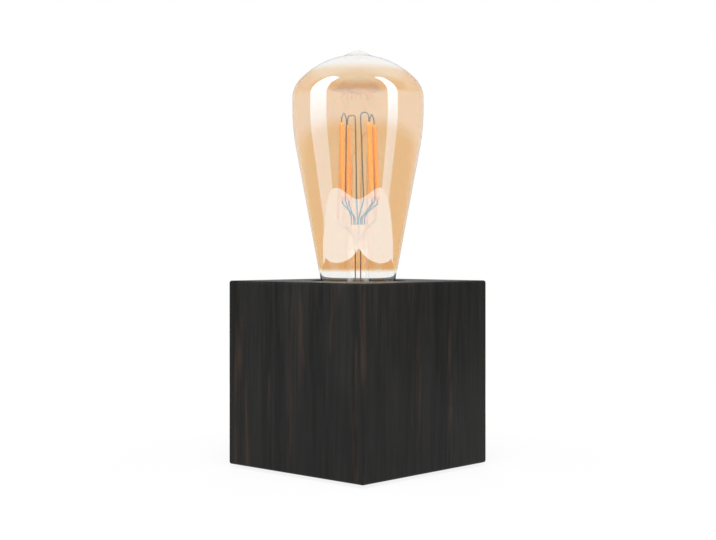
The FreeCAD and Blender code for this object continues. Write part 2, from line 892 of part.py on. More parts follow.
def leaning(point):
    """Shift a point at the cage's foot by the cage's lean."""
    shift = polar(size.cage_lean.value, size.cage_lean_angle.value, 0)
    return [point[axis] + shift[axis] for axis in (0, 1, 2)]


filament_top = bulb_tip - size.filament_top_drop
filament_foot = filament_top - size.filament_length


def led_filament(number):
    """One strip of diodes in its phosphor sleeve, with a metal tab at each end."""
    made = body(f"led_filament_{number}")
    angle = size.cage_angle + 90 * (number - 1)
    made.setExpression("Placement.Rotation.Angle", angle.formula)
    made.setExpression("Placement.Rotation.Axis.z", "1")
    off = size.cage_lean_angle - angle
    foot = (size.cage_foot_radius + size.cage_lean * cosine(off), size.cage_lean * sine(off))
    top = (size.cage_top_radius, as_size(0))

    def section(name, centre, width, thickness, height):
        across = thickness / 2
        wide = width / 2
        return outline(made, name, "level", rectangle(
            centre[0] - across, centre[0] + across, centre[1] - wide, centre[1] + wide,
        ), height)

    low = section("foot", foot, size.filament_width, size.filament_thickness, filament_foot)
    high = section("top", top, size.filament_width, size.filament_thickness, filament_top)
    strip = made.newObject("PartDesign::AdditiveLoft", "strip")
    strip.Profile = low
    strip.Sections = [high]
    strip.Ruled = True
    document.recompute()
    tab = (size.filament_tab_width, size.filament_tab_thickness)
    low_tab = section("foot_tab", foot, *tab, filament_foot)
    extrude(made, "foot_tab_pad", low_tab, size.filament_tab, reverse=True)
    extrude(made, "top_tab_pad", section("top_tab", top, *tab, filament_top), size.filament_tab)


def cage_wires(number):
    """The long support wire of one filament, hooked over at the top, and its short feed wire."""
    angle = size.cage_angle.value + 90 * (number - 1)
    lag = angle - size.wire_lag.value
    foot = filament_foot.value
    start = press_top.value + size.wire_gap.value
    side = 1 if number < 3 else -1
    row = side * size.press_thickness.value / 4
    support_spot, feed_spot = (3 / 8, 1 / 8) if number in (1, 3) else (-1 / 8, -3 / 8)
    support_across = side * support_spot * size.press_width.value
    feed_across = side * feed_spot * size.press_width.value
    hook = filament_top.value + size.filament_tab.value
    tab_top = hook + size.wire_gap.value + size.wire_dia.value / 2
    crest = hook + size.hook_rise.value
    wire(f"support_wire_{number}", [
        [support_across, row, start],
        [support_across, row, start + size.wire_stub.value],
        leaning(polar(size.support_foot_radius.value, lag, foot)),
        polar(size.support_top_radius.value, lag, hook),
        polar(size.support_top_radius.value + size.hook_reach.value, lag, crest),
        polar(size.cage_top_radius.value - size.hook_reach.value, angle, crest),
        polar(size.cage_top_radius.value, angle, tab_top),
    ])
    below = foot - size.filament_tab.value - size.wire_gap.value - size.wire_dia.value / 2
    wire(f"feed_wire_{number}", [
        [feed_across, row, start],
        [feed_across, row, start + size.wire_stub.value],
        leaning(polar(size.cage_foot_radius.value, angle, below)),
    ])


def lead_wires():
    """The two wires from the driver up the stem's tube to the press."""
    board_top = driver_floor + size.board_height
    for number, side in ((1, -1), (2, 1)):
        wide = side * size.board_width.value / 4
        near = side * size.lead_spread.value
        wire(f"lead_wire_{number}", [
            [wide, 0, board_top.value + size.small_gap.value],
            [wide, 0, board_top.value + size.wire_stub.value],
            [near, 0, tube_knee.value],
            [near, 0, tube_top.value - size.small_gap.value],
        ])


# ---- The assembly ----

wooden_block()
felt_feet()
base_cover()
cover_screws()
cord_bushing()
fittings()
holder_cap()
contact_carrier()
terminal("live_terminal", -1)
terminal("neutral_terminal", 1)
terminal_screws()
contact_rivets()
centre_contact()
side_contact()
holder_sleeve()
bulb_cap()
driver()
glass_envelope()
glass_stem()
lead_wires()
for number in (1, 2, 3, 4):
    led_filament(number)
    cage_wires(number)

document.recompute()
for made in document.Objects:
    if "Invalid" in made.State or "Error" in made.State:
        raise RuntimeError(f"{made.Label} ({made.Name}) didn't compute: {made.State}")
for label, made in pieces.items():
    if made.Shape.isNull() or not made.Shape.isValid() or made.Shape.Volume <= 0:
        raise RuntimeError(f"{label} has no valid solid")

os.makedirs("parts", exist_ok=True)
for label, made in pieces.items():
    made.Shape.exportStep(os.path.join("parts", f"{label}.step"))
    print(f"{label}: {len(made.Shape.Solids)} solid(s), {made.Shape.Volume:.1f} mm3")
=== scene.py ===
import json
import math

import bmesh
import bpy
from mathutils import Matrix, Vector


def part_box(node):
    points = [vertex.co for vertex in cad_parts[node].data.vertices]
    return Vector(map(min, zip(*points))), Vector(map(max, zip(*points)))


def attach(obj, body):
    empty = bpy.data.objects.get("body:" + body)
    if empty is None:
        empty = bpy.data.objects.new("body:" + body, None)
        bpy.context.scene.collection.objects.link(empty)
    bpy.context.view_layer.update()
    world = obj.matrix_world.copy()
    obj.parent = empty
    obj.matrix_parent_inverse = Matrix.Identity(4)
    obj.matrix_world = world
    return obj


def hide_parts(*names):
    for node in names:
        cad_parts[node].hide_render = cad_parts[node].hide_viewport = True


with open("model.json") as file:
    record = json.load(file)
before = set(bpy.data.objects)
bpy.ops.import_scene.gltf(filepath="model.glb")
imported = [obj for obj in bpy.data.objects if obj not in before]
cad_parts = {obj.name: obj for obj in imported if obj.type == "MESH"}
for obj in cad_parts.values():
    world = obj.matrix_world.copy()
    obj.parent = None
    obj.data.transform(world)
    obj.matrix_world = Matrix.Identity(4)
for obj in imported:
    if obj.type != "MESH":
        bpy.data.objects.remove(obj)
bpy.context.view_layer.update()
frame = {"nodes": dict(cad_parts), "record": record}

# Looks of the bare bulb table lamp. Metres and degrees, in the frame's own axes: +Z up, +Y back.

nodes = frame["nodes"]
MM = 0.001

# ---- Places taken from the frame ----

BLOCK_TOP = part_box("wooden_block")[1].z
glass_low, glass_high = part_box("glass_envelope")
shell_low, shell_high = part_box("bulb_cap_shell")
stem_low, stem_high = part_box("glass_stem")
filament_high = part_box("led_filament_1")[1]
BULB_TIP = glass_high.z
BELLY_RADIUS = glass_high.x

# ---- Sizes of the looks ----

# Envelope: wall, neck, shoulder, cone, belly, crown, pip and the ends of its amber coat.
GLASS_WALL = 0.8 * MM
NECK_RADIUS = 10.9 * MM
SHOULDER_RADIUS = 6 * MM
SHOULDER_SPREAD = 12.2 * MM
SHOULDER_GAP = 0.1 * MM
CONE_ANGLE = 10.6
BELLY_ROUND = 110 * MM
CROWN_DROP = 23.7 * MM
CROWN_ROUND = 13 * MM
CROWN_ANGLE = 43
PIP_RISE = 2.3 * MM
PIP_REACH = 9 * MM
PIP_POWER = 2.5
COAT_TOP = BLOCK_TOP + 105 * MM
COAT_LOW = BLOCK_TOP + 4 * MM
COAT_FADE = 5 * MM

# Cage of filaments and wires, which leans a little to one side, and the stem that holds it.
CAGE_ANGLE = 76.4
CAGE_LEAN = 1.1 * MM
CAGE_LEAN_ANGLE = 43
CAGE_TOP_RADIUS = 9.6 * MM
CAGE_FOOT_RADIUS = 10.3 * MM
FILAMENT_LENGTH = 38 * MM
FILAMENT_TAB = 1.6 * MM
WIRE_RADIUS = 0.3 * MM
WIRE_BEND = 1.2 * MM
WIRE_SIDES = 10
WIRE_LAG = 20.4
WIRE_SINK = 2.5 * MM
WIRE_STUB = 1.05 * MM
SUPPORT_TOP_RADIUS = 5.75 * MM
SUPPORT_FOOT_RADIUS = 7.5 * MM
HOOK_RISE = 2.9 * MM
HOOK_REACH = 1 * MM
STEM_WALL = 1 * MM
STEM_RADIUS = 5.4 * MM
STEM_FLARE_RADIUS = 9.8 * MM
STEM_FLARE_RISE = 6 * MM
STEM_FLARE_POWER = 2.4
STEM_FLARE_STEPS = 12
STEM_TUBE_RISE = 30.5 * MM
PRESS_RISE = 9 * MM
PRESS_STEPS = 14
PRESS_SQUARENESS = 0.45
PRESS_EDGE = 0.3 * MM
PRESS_EDGE_RISE = 0.4 * MM
PRESS_WIDTH = 9.6 * MM
PRESS_THICKNESS = 3.2 * MM

# A filament's sleeve of phosphor and its tinned end tabs.
SLEEVE_HALF_THICK = 0.83 * MM
SLEEVE_HALF_WIDE = 1.18 * MM
SLEEVE_END = 0.55 * MM
TAB_HALF_THICK = 0.18 * MM
TAB_HALF_WIDE = 0.38 * MM
TAB_SINK = 0.3 * MM
SLEEVE_TIP = 0.02 * MM
SLEEVE_STEPS = 32
SLEEVE_SIDES = 20
SLEEVE_RIPPLE = 0.03
SQUARENESS = 0.55

# Screw cap and its thread.
THREAD_PITCH = 3.629 * MM
THREAD_DEPTH = 0.8 * MM
THREAD_RUN_IN = 0.4
CAP_CREST = 13.1 * MM
CAP_WALL = 0.3 * MM
CAP_FOOT_RADIUS = 10.4 * MM
CAP_FOOT_ROUND = 0.9 * MM
CAP_THREAD_START = 1.4 * MM
CAP_THREAD_END = 2.6 * MM
CAP_STRAIGHT_FOOT = 1 * MM
CAP_STRAIGHT_TOP = 2.2 * MM
CAP_FLARE_FOOT = 1.6 * MM
CAP_FLARE_REACH = 0.2 * MM
CAP_RIM_FOOT = 0.5 * MM
CAP_RIM_TOP = 0.15 * MM
CAP_RIM_ROUND = 0.2 * MM

# Edges of the CAD nodes stay sharp above this angle.
SHARP_ANGLE = 35


# ---- Meshes ----


def mesh_object(name, vertices, faces, smooth=True):
    """A named object of these points and faces, in metres."""
    mesh = bpy.data.meshes.new(name)
    mesh.from_pydata([tuple(vertex) for vertex in vertices], [], faces)
    mesh.validate()
    if smooth:
        mesh.shade_smooth()
    made = bpy.data.objects.new(name, mesh)
    bpy.context.scene.collection.objects.link(made)
    return made


def face_out(made):
    """Turn every face of a closed mesh outward."""
    work = bmesh.new()
    work.from_mesh(made.data)
    bmesh.ops.remove_doubles(work, verts=work.verts, dist=1e-7)
    bmesh.ops.recalc_face_normals(work, faces=work.faces)
    work.to_mesh(made.data)
    work.free()
    return made


def arc(centre, radius, start, end, count):
    """Points of a circle from one angle to another, in degrees above the level line."""
    points = []
    for step in range(count + 1):
        angle = math.radians(start + (end - start) * step / count)
        points.append((centre[0] + radius * math.cos(angle), centre[1] + radius * math.sin(angle)))
    return points


def rounded(share, power):
    """A sine or cosine raised to a power with its sign kept: below 1 it squares a circle off."""
    return math.copysign(abs(share) ** power, share)


def straight(start, end, count):
    """Points of a straight line from one place to another."""
    across, up = end[0] - start[0], end[1] - start[1]
    return [
        (start[0] + across * step / count, start[1] + up * step / count)
        for step in range(count + 1)
    ]


def lathe(name, outline, steps=96):
    """Turn a closed outline of (radius, height) points about the upright axis."""
    vertices = []
    for turn in range(steps):
        angle = 2 * math.pi * turn / steps
        for radius, height in outline:
            vertices.append((radius * math.cos(angle), radius * math.sin(angle), height))
    count = len(outline)
    faces = []
    for turn in range(steps):
        here = turn * count
        there = ((turn + 1) % steps) * count
        for point in range(count):
            after = (point + 1) % count
            faces.append((here + point, there + point, there + after, here + after))
    return face_out(mesh_object(name, vertices, faces))


def loft(name, rings):
    """Skin a run of rings that have as many points each, and close both ends."""
    count = len(rings[0])
    vertices = [point for ring in rings for point in ring]
    faces = [tuple(reversed(range(count)))]
    for level in range(len(rings) - 1):
        low = level * count
        for point in range(count):
            after = (point + 1) % count
            faces.append((low + point, low + after, low + count + after, low + count + point))
    last = (len(rings) - 1) * count
    faces.append(tuple(range(last, last + count)))
    return face_out(mesh_object(name, vertices, faces))


def eased(points, radius, steps=5):
    """A path whose inner corners are rounded."""
    path = [points[0]]
    for before, corner, after in zip(points, points[1:], points[2:]):
        reach = min(radius, (before - corner).length / 2, (after - corner).length / 2)
        start = corner + (before - corner).normalized() * reach
        end = corner + (after - corner).normalized() * reach
        for step in range(steps + 1):
            share = step / steps
            rest = 1 - share
            path.append(start * rest ** 2 + corner * 2 * share * rest + end * share ** 2)
    path.append(points[-1])
    return path


def wire(name, points):
    """A round wire along a path."""
    path = eased([Vector(point) for point in points], WIRE_BEND)
    across = (path[1] - path[0]).orthogonal().normalized()
    rings = []
    for index, point in enumerate(path):
        ahead = path[min(index + 1, len(path) - 1)] - path[max(index - 1, 0)]
        ahead.normalize()
        across = (across - ahead * across.dot(ahead)).normalized()
        other = ahead.cross(across)
        ring = []
        for side in range(WIRE_SIDES):
            angle = 2 * math.pi * side / WIRE_SIDES
            around = across * math.cos(angle) + other * math.sin(angle)
            ring.append(point + around * WIRE_RADIUS)
        rings.append(ring)
    return loft(name, rings)


# ---- Materials ----


WHITE = (1, 1, 1, 1)
METAL = 1.0
FINISHES = {}


class Nodes:
    """Short ways to add nodes to one shader tree."""

    def __init__(self, tree):
        self.tree = tree

    def node(self, kind, **settings):
        made = self.tree.nodes.new(kind)
        for name, amount in settings.items():
            if name in made.inputs:
                made.inputs[name].default_value = amount
            else:
                setattr(made, name, amount)
        return made

    def link(self, output, target):
        self.tree.links.new(output, target)

    def noise(self, vector, scale, detail=4.0, roughness=0.55, distortion=0.0):
        made = self.node("ShaderNodeTexNoise")
        made.inputs["Scale"].default_value = scale
        made.inputs["Detail"].default_value = detail
        made.inputs["Roughness"].default_value = roughness
        made.inputs["Distortion"].default_value = distortion
        self.link(vector, made.inputs["Vector"])
        return made.outputs["Fac"]

    def ramp(self, value, *stops):
        """A colour that runs through the stops, each a place from 0 to 1 and its colour."""
        made = self.node("ShaderNodeValToRGB")
        elements = made.color_ramp.elements
        while len(elements) < len(stops):
            elements.new(0.5)
        for element, (position, colour) in zip(elements, stops):
            element.position = position
            element.color = (*colour, 1)
        self.link(value, made.inputs["Fac"])
        return made.outputs["Color"]

    def span(self, value, low, high, to_low=0.0, to_high=1.0, smooth=False):
        """A value's run from low to high, mapped to another run and held at its ends."""
        made = self.node("ShaderNodeMapRange")
        made.inputs["From Min"].default_value = low
        made.inputs["From Max"].default_value = high
        made.inputs["To Min"].default_value = to_low
        made.inputs["To Max"].default_value = to_high
        if smooth:
            made.interpolation_type = "SMOOTHSTEP"
        self.link(value, made.inputs["Value"])
        return made.outputs["Result"]

    def mixed(self, factor, first, second):
        """A mix of two colours, each an output or a plain colour."""
        made = self.node("ShaderNodeMix", data_type="RGBA")
        self.link(factor, made.inputs["Factor"])
        for socket, colour in ((made.inputs[6], first), (made.inputs[7], second)):
            if isinstance(colour, tuple):
                socket.default_value = (*colour, 1)
            else:
                self.link(colour, socket)
        return made.outputs[2]

    def maths(self, operation, first, second):
        """Two values joined by an operation, each an output or a plain number."""
        made = self.node("ShaderNodeMath", operation=operation)
        for socket, amount in zip(made.inputs, (first, second)):
            if isinstance(amount, (int, float)):
                socket.default_value = amount
            else:
                self.link(amount, socket)
        return made.outputs[0]

    def part(self, vector, axis):
        """A vector's share along one axis."""
        parts = self.node("ShaderNodeSeparateXYZ")
        self.link(vector, parts.inputs["Vector"])
        return parts.outputs[axis]

    def mixed_shaders(self, factor, first, second):
        made = self.node("ShaderNodeMixShader")
        for socket, output in zip(made.inputs, (factor, first, second)):
            self.link(output, socket)
        return made.outputs[0]

    def ray_kind(self, *kinds):
        """1 for a ray of any of these kinds."""
        path = self.node("ShaderNodeLightPath")
        value = path.outputs[kinds[0]]
        for kind in kinds[1:]:
            value = self.maths("MAXIMUM", value, path.outputs[kind])
        return value


class Finish(Nodes):
    """A material with one principled shader, kept in FINISHES under its name."""

    def __init__(self, name, **sockets):
        material = bpy.data.materials.new(name)
        material.use_nodes = True
        super().__init__(material.node_tree)
        self.shader = self.tree.nodes["Principled BSDF"]
        for socket, amount in sockets.items():
            self.shader.inputs[socket.replace("_", " ")].default_value = amount
        FINISHES[name] = material

    def feed(self, socket, output):
        self.link(output, self.shader.inputs[socket])

    def coordinates(self, stretch=(1, 1, 1)):
        place = self.node("ShaderNodeTexCoord")
        mapping = self.node("ShaderNodeMapping")
        mapping.inputs["Scale"].default_value = stretch
        self.link(place.outputs["Object"], mapping.inputs["Vector"])
        return mapping.outputs["Vector"]

    def bump(self, height, strength, distance):
        made = self.node("ShaderNodeBump")
        made.inputs["Strength"].default_value = strength
        made.inputs["Distance"].default_value = distance
        self.link(height, made.inputs["Height"])
        self.feed("Normal", made.outputs["Normal"])


def speckled(name, dark, light, scale, rough, metallic=0.0, stretch=(1, 1, 1), bump=0.2):
    """A plain finish with a fine mottle in colour, gloss and surface."""
    made = Finish(name, Metallic=metallic)
    mottle = made.noise(made.coordinates(stretch), scale)
    made.feed("Base Color", made.ramp(mottle, (0.35, dark), (0.65, light)))
    made.feed("Roughness", made.span(mottle, 0.3, 0.7, rough[0], rough[1]))
    made.bump(mottle, bump, 0.05 * MM)


def stained_wood():
    """Black stain over upright grain, with brown showing in thin streaks."""
    made = Finish("stained_wood", Specular_IOR_Level=0.12)
    upright = made.coordinates((1, 1, 0.045))
    bands = made.noise(upright, 46, 5, 0.6, 0.6)
    fibres = made.noise(upright, 420, 3, 0.7, 0.2)
    streaks = made.noise(made.coordinates((1, 1, 0.07)), 150, 3, 0.6, 0.3)
    cloud = made.noise(made.coordinates(), 16, 3, 0.5)
    body = made.ramp(bands, (0.36, (0.002, 0.002, 0.002)), (0.64, (0.010, 0.0095, 0.009)))
    body = made.mixed(made.span(fibres, 0.40, 0.70, 0, 0.6), body, (0.017, 0.0162, 0.0158))
    body = made.mixed(made.span(streaks, 0.58, 0.74, 0, 0.55), body, (0.055, 0.030, 0.018))
    body = made.mixed(made.span(cloud, 0.35, 0.7, 0, 0.5), body, (0.002, 0.002, 0.002))
    made.feed("Base Color", body)
    made.feed("Roughness", made.span(fibres, 0.3, 0.8, 0.28, 0.42))
    height = made.maths("ADD", fibres, made.maths("MULTIPLY", bands, 0.6))
    made.bump(height, 0.25, 0.12 * MM)


def felt():
    """Black felt with a soft, fluffy surface."""
    made = Finish("felt", Roughness=0.95, Sheen_Weight=0.4)
    fluff = made.noise(made.coordinates(), 1400, 4, 0.7)
    made.feed("Base Color", made.ramp(fluff, (0.3, (0.012,) * 3), (0.7, (0.05,) * 3)))
    made.bump(fluff, 0.9, 0.25 * MM)


def clear_glass():
    """Thin clear glass: nearly unseen face on, denser where it turns away."""
    made = Finish("clear_glass", Roughness=0.03, IOR=1.45)
    haze = made.noise(made.coordinates(), 60, 2)
    pale = made.ramp(haze, (0.3, (0.80, 0.80, 0.78)), (0.7, (0.92, 0.92, 0.90)))
    made.feed("Base Color", pale)
    turned = made.node("ShaderNodeLayerWeight", Blend=0.35)
    made.feed("Alpha", made.span(turned.outputs["Facing"], 0.1, 1.0, 0.02, 0.30))


def amber_glass():
    """Glass with a thin metal-oxide coat: amber by transmitted light, bluish where it reflects."""
    made = Finish("amber_glass", Roughness=0.0, IOR=4.0, Transmission_Weight=1.0)
    height = made.part(made.node("ShaderNodeTexCoord").outputs["Object"], "Z")
    upper = made.span(height, COAT_TOP, COAT_TOP - COAT_FADE, smooth=True)
    lower = made.span(height, COAT_LOW, COAT_LOW + COAT_FADE * 0.5, smooth=True)
    coat = made.maths("MULTIPLY", upper, lower)
    made.feed("Base Color", made.mixed(coat, (0.98, 0.98, 0.97), (0.95, 0.81, 0.59)))
    made.feed("Specular Tint", made.mixed(coat, (0.11, 0.11, 0.11), (0.34, 0.71, 1.0)))


def phosphor():
    """The yellow coat of the filaments, orange while unlit."""
    made = Finish("phosphor", Roughness=0.55)
    mottle = made.noise(made.coordinates((1, 1, 0.6)), 900, 3)
    orange = made.ramp(mottle, (0.3, (0.95, 0.36, 0.03)), (0.7, (1.0, 0.42, 0.045)))
    made.feed("Base Color", orange)
    made.bump(mottle, 0.3, 0.08 * MM)


stained_wood()
felt()
speckled("cover_plastic", (0.018,) * 3, (0.030,) * 3, 700, (0.45, 0.6))
speckled("steel", (0.50, 0.50, 0.51), (0.62, 0.62, 0.63), 600, (0.25, 0.4), METAL)
speckled("bushing_plastic", (0.012,) * 3, (0.022,) * 3, 500, (0.35, 0.5))
speckled("zinc_steel", (0.55, 0.56, 0.56), (0.70, 0.70, 0.68), 300, (0.3, 0.45), METAL)
speckled("holder_black", (0.010,) * 3, (0.018,) * 3, 500, (0.3, 0.42))
speckled("carrier_white", (0.72, 0.71, 0.67), (0.82, 0.81, 0.77), 400, (0.4, 0.6))
speckled("brass", (0.72, 0.52, 0.22), (0.84, 0.64, 0.32), 500, (0.2, 0.35), METAL)
speckled("spring_brass", (0.70, 0.48, 0.26), (0.82, 0.60, 0.34), 600, (0.2, 0.3), METAL)
speckled("cap_metal", (0.74, 0.58, 0.32), (0.86, 0.70, 0.42), 350, (0.16, 0.3), METAL)
speckled("insulator_black", (0.006,) * 3, (0.014,) * 3, 300, (0.05, 0.15))
speckled("solder_metal", (0.60, 0.60, 0.60), (0.76, 0.76, 0.75), 450, (0.3, 0.5), METAL)
speckled("cement", (0.62, 0.56, 0.44), (0.78, 0.73, 0.60), 900, (0.8, 0.95), bump=0.5)
speckled("board_green", (0.03, 0.16, 0.08), (0.05, 0.24, 0.13), 500, (0.3, 0.45))
speckled("capacitor_sleeve", (0.06, 0.06, 0.08), (0.10, 0.10, 0.13), 300, (0.25, 0.4))
speckled("chip_black", (0.02,) * 3, (0.035,) * 3, 900, (0.5, 0.7))
amber_glass()
clear_glass()
speckled("wire_metal", (0.13, 0.065, 0.03), (0.24, 0.13, 0.06), 800, (0.35, 0.5), 0.6,
         stretch=(1, 1, 0.1))
phosphor()

for part in frame["record"]["subparts"]:
    node = nodes[part["node"]]
    node.data.materials.clear()
    node.data.materials.append(FINISHES[part["material_slot"]])
    node.data.shade_smooth()
    node.data.set_sharp_from_angle(angle=math.radians(SHARP_ANGLE))


def stand_for(made, slot, body, *replaced):
    """Finish a piece, let it ride with its body and take the place of its CAD nodes."""
    made.data.materials.append(FINISHES[slot])
    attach(made, body)
    if replaced:
        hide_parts(*replaced)


# ---- Bulb: glass ----


def glass_profile():
    """The outer outline of the envelope from the neck's foot to the pip."""
    shoulder = (SHOULDER_SPREAD, shell_high.z + SHOULDER_GAP + SHOULDER_RADIUS)
    crown = (BELLY_RADIUS - CROWN_ROUND, BULB_TIP - CROWN_DROP)
    slope = math.tan(math.radians(CONE_ANGLE))
    round_ = [(NECK_RADIUS, glass_low.z), (NECK_RADIUS, shoulder[1] - SHOULDER_RADIUS)]
    round_ += arc(shoulder, SHOULDER_RADIUS, -90, -CONE_ANGLE, 12)
    cone_start = round_[-1]
    middle = BELLY_RADIUS - BELLY_ROUND
    cone_end_radius = middle + BELLY_ROUND * math.cos(math.radians(CONE_ANGLE))
    cone_end = (cone_end_radius, cone_start[1] + (cone_end_radius - cone_start[0]) / slope)
    belly_height = cone_end[1] + BELLY_ROUND * math.sin(math.radians(CONE_ANGLE))
    round_ += straight(cone_start, cone_end, 30)[1:]
    round_ += arc((middle, belly_height), BELLY_ROUND, -CONE_ANGLE, 0, 16)[1:]
    round_ += arc(crown, CROWN_ROUND, 0, CROWN_ANGLE, 24)
    dome_radius = CROWN_ROUND + crown[0] / math.cos(math.radians(CROWN_ANGLE))
    dome_height = round_[-1][1] - dome_radius * math.sin(math.radians(CROWN_ANGLE))
    dome = arc((0, dome_height), dome_radius, CROWN_ANGLE, 90, 48)[1:]
    return round_, dome


def raised(point):
    """The sealed-off pip swells out of the middle of the dome."""
    share = max(0.0, 1 - (point[0] / PIP_REACH) ** 2)
    return (max(point[0], 0.0), point[1] + PIP_RISE * share ** PIP_POWER)


def inward(points, wall):
    """An outline moved inward by the thickness of the wall."""
    moved = []
    for index, point in enumerate(points):
        before = points[max(index - 1, 0)]
        after = points[min(index + 1, len(points) - 1)]
        across, up = after[0] - before[0], after[1] - before[1]
        length = math.hypot(across, up) or 1
        moved.append((max(point[0] - up / length * wall, 0.0), point[1] + across / length * wall))
    return moved


def glass_envelope():
    side, dome = glass_profile()
    outer = side + [raised(point) for point in dome]
    inner = inward(outer, GLASS_WALL)
    made = lathe("glass_bulb", outer + inner[::-1], steps=128)
    made.visible_shadow = False
    stand_for(made, "amber_glass", "bulb", "glass_envelope")


glass_envelope()


def flattened_ring(half_width, half_depth, height, count=40):
    """A ring between a circle and a rounded slot."""
    ring = []
    flat = 1 - half_depth / half_width
    for step in range(count):
        angle = 2 * math.pi * step / count
        power = 1 - PRESS_SQUARENESS * flat
        across = rounded(math.cos(angle), power) * half_width
        deep = rounded(math.sin(angle), power) * half_depth
        ring.append(Vector((across, deep, height)))
    return ring


def glass_stem():
    """The flared tube and the press that is squeezed flat round the wires."""
    foot = stem_low.z
    tube_top = foot + STEM_TUBE_RISE
    outer = []
    for step in range(STEM_FLARE_STEPS + 1):
        share = step / STEM_FLARE_STEPS
        spread = (STEM_FLARE_RADIUS - STEM_RADIUS) * (1 - share) ** STEM_FLARE_POWER
        outer.append((STEM_RADIUS + spread, foot + STEM_FLARE_RISE * share))
    outer.append((STEM_RADIUS, tube_top))
    inner = [(across - STEM_WALL, up) for across, up in reversed(outer)]
    tube = lathe("stem_tube", outer + inner, steps=64)
    half_width, half_depth = PRESS_WIDTH / 2, PRESS_THICKNESS / 2
    rings = []
    for step in range(PRESS_STEPS + 1):
        share = step / PRESS_STEPS
        ease = share * share * (3 - 2 * share)
        wide = STEM_RADIUS + (half_width - STEM_RADIUS) * ease
        deep = STEM_RADIUS + (half_depth - STEM_RADIUS) * ease
        rings.append(flattened_ring(wide, deep, tube_top + PRESS_RISE * share))
    rings.append(flattened_ring(half_width, half_depth, stem_high.z - PRESS_EDGE_RISE))
    rings.append(flattened_ring(half_width - PRESS_EDGE, half_depth - PRESS_EDGE, stem_high.z))
    press = loft("stem_press", rings)
    for made in (tube, press):
        made.visible_shadow = False
        stand_for(made, "clear_glass", "bulb", "glass_stem")


glass_stem()


# ---- Bulb: filament cage ----


def polar(radius, angle, height):
    """A place by its distance from the axis, its angle in degrees and its height."""
    turn = math.radians(angle)
    return Vector((radius * math.cos(turn), radius * math.sin(turn), height))


lean = polar(CAGE_LEAN, CAGE_LEAN_ANGLE, 0)
filament_top = filament_high.z - FILAMENT_TAB
filament_foot = filament_top - FILAMENT_LENGTH
press_top = stem_high.z


def led_filament(number):
    """A strip in a rounded phosphor sleeve, with a tinned tab at each end."""
    angle = CAGE_ANGLE + 90 * (number - 1)
    foot = polar(CAGE_FOOT_RADIUS, angle, filament_foot) + lean
    top = polar(CAGE_TOP_RADIUS, angle, filament_top)
    out = polar(1, angle, 0)
    side = polar(1, angle + 90, 0)

    def ring(centre, half_thick, half_wide):
        points = []
        for step in range(SLEEVE_SIDES):
            turn = 2 * math.pi * step / SLEEVE_SIDES
            deep = rounded(math.cos(turn), SQUARENESS) * half_thick
            wide = rounded(math.sin(turn), SQUARENESS) * half_wide
            points.append(centre + out * deep + side * wide)
        return points

    rings = []
    for step in range(SLEEVE_STEPS + 1):
        share = step / SLEEVE_STEPS
        end = min(share, 1 - share) * FILAMENT_LENGTH
        swell = math.sqrt(min(1.0, max(end, SLEEVE_TIP) / SLEEVE_END))
        ripple = 1 + SLEEVE_RIPPLE * math.sin(step * 2.1 + number)
        thick = SLEEVE_HALF_THICK * swell * ripple
        rings.append(ring(foot.lerp(top, share), thick, SLEEVE_HALF_WIDE * swell))
    sleeve = loft(f"filament_sleeve_{number}", rings)
    stand_for(sleeve, "phosphor", "bulb", f"led_filament_{number}")
    for word, centre, way in (("foot", foot, -1), ("top", top, 1)):
        start = centre - Vector((0, 0, way * TAB_SINK))
        end = centre + Vector((0, 0, way * (FILAMENT_TAB - SLEEVE_TIP)))
        tab = loft(f"filament_{word}_tab_{number}", [
            ring(start, TAB_HALF_THICK, TAB_HALF_WIDE), ring(end, TAB_HALF_THICK, TAB_HALF_WIDE),
        ])
        stand_for(tab, "wire_metal", "bulb")


def cage_wires(number):
    """A filament's long support wire, hooked over at the top, and its short feed wire."""
    angle = CAGE_ANGLE + 90 * (number - 1)
    lag = angle - WIRE_LAG
    side = 1 if number < 3 else -1
    row = side * PRESS_THICKNESS / 4
    support_spot, feed_spot = (3 / 8, 1 / 8) if number in (1, 3) else (-1 / 8, -3 / 8)
    support_across = side * support_spot * PRESS_WIDTH
    feed_across = side * feed_spot * PRESS_WIDTH
    start = press_top - WIRE_SINK
    stub = press_top + WIRE_STUB
    hook = filament_top + FILAMENT_TAB
    crest = hook + HOOK_RISE
    support = wire(f"support_{number}", [
        (support_across, row, start),
        (support_across, row, stub),
        polar(SUPPORT_FOOT_RADIUS, lag, filament_foot) + lean,
        polar(SUPPORT_TOP_RADIUS, lag, hook),
        polar(SUPPORT_TOP_RADIUS + HOOK_REACH, lag, crest),
        polar(CAGE_TOP_RADIUS - HOOK_REACH, angle, crest),
        polar(CAGE_TOP_RADIUS, angle, hook),
    ])
    stand_for(support, "wire_metal", "bulb", f"support_wire_{number}")
    below = filament_foot - FILAMENT_TAB
    feed = wire(f"feed_{number}", [
        (feed_across, row, start),
        (feed_across, row, stub),
        polar(CAGE_FOOT_RADIUS, angle, below) + lean,
    ])
    stand_for(feed, "wire_metal", "bulb", f"feed_wire_{number}")


for number in (1, 2, 3, 4):
    led_filament(number)
    cage_wires(number)


# ---- Bulb: screw cap ----


def threaded(name, outline, low, high):
    """A turned shell whose wall between two heights carries a round rolled thread."""
    made = lathe(name, outline)
    run_in = THREAD_PITCH * THREAD_RUN_IN
    for vertex in made.data.vertices:
        x, y, z = vertex.co
        radius = math.hypot(x, y)
        if not low < z < high or radius < 1e-5:
            continue
        run = min(1.0, (z - low) / run_in, (high - z) / run_in)
        phase = (z / THREAD_PITCH - math.atan2(y, x) / (2 * math.pi)) * 2 * math.pi
        sunk = THREAD_DEPTH * (0.5 - 0.5 * math.cos(phase)) * run
        vertex.co.x = x * (radius - sunk) / radius
        vertex.co.y = y * (radius - sunk) / radius
    made.data.update()
    return made


